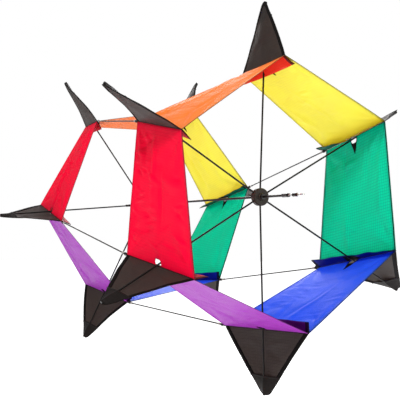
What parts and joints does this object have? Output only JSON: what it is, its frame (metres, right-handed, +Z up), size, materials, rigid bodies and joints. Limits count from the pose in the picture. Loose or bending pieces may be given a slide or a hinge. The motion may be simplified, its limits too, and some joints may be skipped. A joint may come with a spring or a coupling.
{
  "type": "spinning box kite",
  "caption": "Spinning star-shaped box kite: two twisted hexagonal cells of rainbow sailcloth on a central spine, with pointed corner winglets and a nose swivel for the line.",
  "frame": {"origin": "centre of the tow eye's hole, at the nose, on the spine's centre line", "axes": "+Y runs along the spine from the nose to the tail, +Z is up through the top corner of the front cell and along the tow eye's hole, +X is to the right seen from the nose"},
  "size_m": [0.6532, 0.7566, 0.6554],
  "materials": {
    "sail_red": "woven ripstop sailcloth, satin, lets light through",
    "sail_orange": "woven ripstop sailcloth, satin, lets light through",
    "sail_yellow": "woven ripstop sailcloth, satin, lets light through",
    "sail_green": "woven ripstop sailcloth, satin, lets light through",
    "sail_blue": "woven ripstop sailcloth, satin, lets light through",
    "sail_purple": "woven ripstop sailcloth, satin, lets light through",
    "winglet_grey": "thin dark ripstop sailcloth, lets a little light through",
    "trim_black": "woven tape and reinforcing cloth",
    "rod_black": "drawn glass-fibre rod with a fine lengthwise grain",
    "hub_black": "moulded nylon, lightly worn",
    "vinyl_black": "soft dipped vinyl cap",
    "collar_grey": "soft plastic tubing",
    "ferrule_black": "moulded plastic",
    "swivel_black": "black-plated brass barrel",
    "swivel_metal": "plain steel wire and eye"
  },
  "bodies": {
    "kite": {"spine": "rod_black", "nose_ferrule": "ferrule_black", "tail_cap": "vinyl_black", "front_hub": "hub_black", "rear_hub": "hub_black", "hub_stops": "vinyl_black", "front_spar_1": "rod_black", "front_spar_2": "rod_black", "front_spar_3": "rod_black", "front_spar_4": "rod_black", "front_spar_5": "rod_black", "front_spar_6": "rod_black", "rear_spar_1": "rod_black", "rear_spar_2": "rod_black", "rear_spar_3": "rod_black", "rear_spar_4": "rod_black", "rear_spar_5": "rod_black", "rear_spar_6": "rod_black", "spar_end_caps": "vinyl_black", "longeron_1": "rod_black", "longeron_2": "rod_black", "longeron_3": "rod_black", "longeron_4": "rod_black", "longeron_5": "rod_black", "longeron_6": "rod_black", "longeron_end_caps": "vinyl_black", "longeron_collars": "collar_grey", "corner_loops": "trim_black", "front_panel_yellow": "sail_yellow", "front_panel_green": "sail_green", "front_panel_blue": "sail_blue", "front_panel_purple": "sail_purple", "front_panel_red": "sail_red", "front_panel_orange": "sail_orange", "rear_panel_yellow": "sail_yellow", "rear_panel_green": "sail_green", "rear_panel_blue": "sail_blue", "rear_panel_purple": "sail_purple", "rear_panel_red": "sail_red", "rear_panel_orange": "sail_orange", "front_winglet_1": "winglet_grey", "front_winglet_2": "winglet_grey", "front_winglet_3": "winglet_grey", "front_winglet_4": "winglet_grey", "front_winglet_5": "winglet_grey", "front_winglet_6": "winglet_grey", "rear_winglet_1": "winglet_grey", "rear_winglet_2": "winglet_grey", "rear_winglet_3": "winglet_grey", "rear_winglet_4": "winglet_grey", "rear_winglet_5": "winglet_grey", "rear_winglet_6": "winglet_grey", "front_tip_pockets": "winglet_grey", "rear_tip_pockets": "winglet_grey", "front_seam_flaps": "winglet_grey", "rear_seam_flaps": "winglet_grey", "spar_hole_patches": "trim_black"},
    "swivel_link": {"swivel_link_eye": "swivel_metal"},
    "swivel_barrel": {"swivel_barrel": "swivel_black"},
    "swivel_line_eye": {"swivel_line_eye": "swivel_metal"}
  },
  "joints": [
    {"name": "link_swing", "type": "hinge", "parent": "kite", "child": "swivel_link", "pos_m": [0, 0.0364, 0], "axis": [1, 0, 0], "range_deg": [-80, 80]},
    {"name": "barrel_spin", "type": "hinge", "parent": "swivel_link", "child": "swivel_barrel", "pos_m": [0, 0.0195, 0], "axis": [0, 1, 0], "continuous": true},
    {"name": "line_eye_spin", "type": "hinge", "parent": "swivel_barrel", "child": "swivel_line_eye", "pos_m": [0, 0.0195, 0], "axis": [0, 1, 0], "continuous": true}
  ]
}
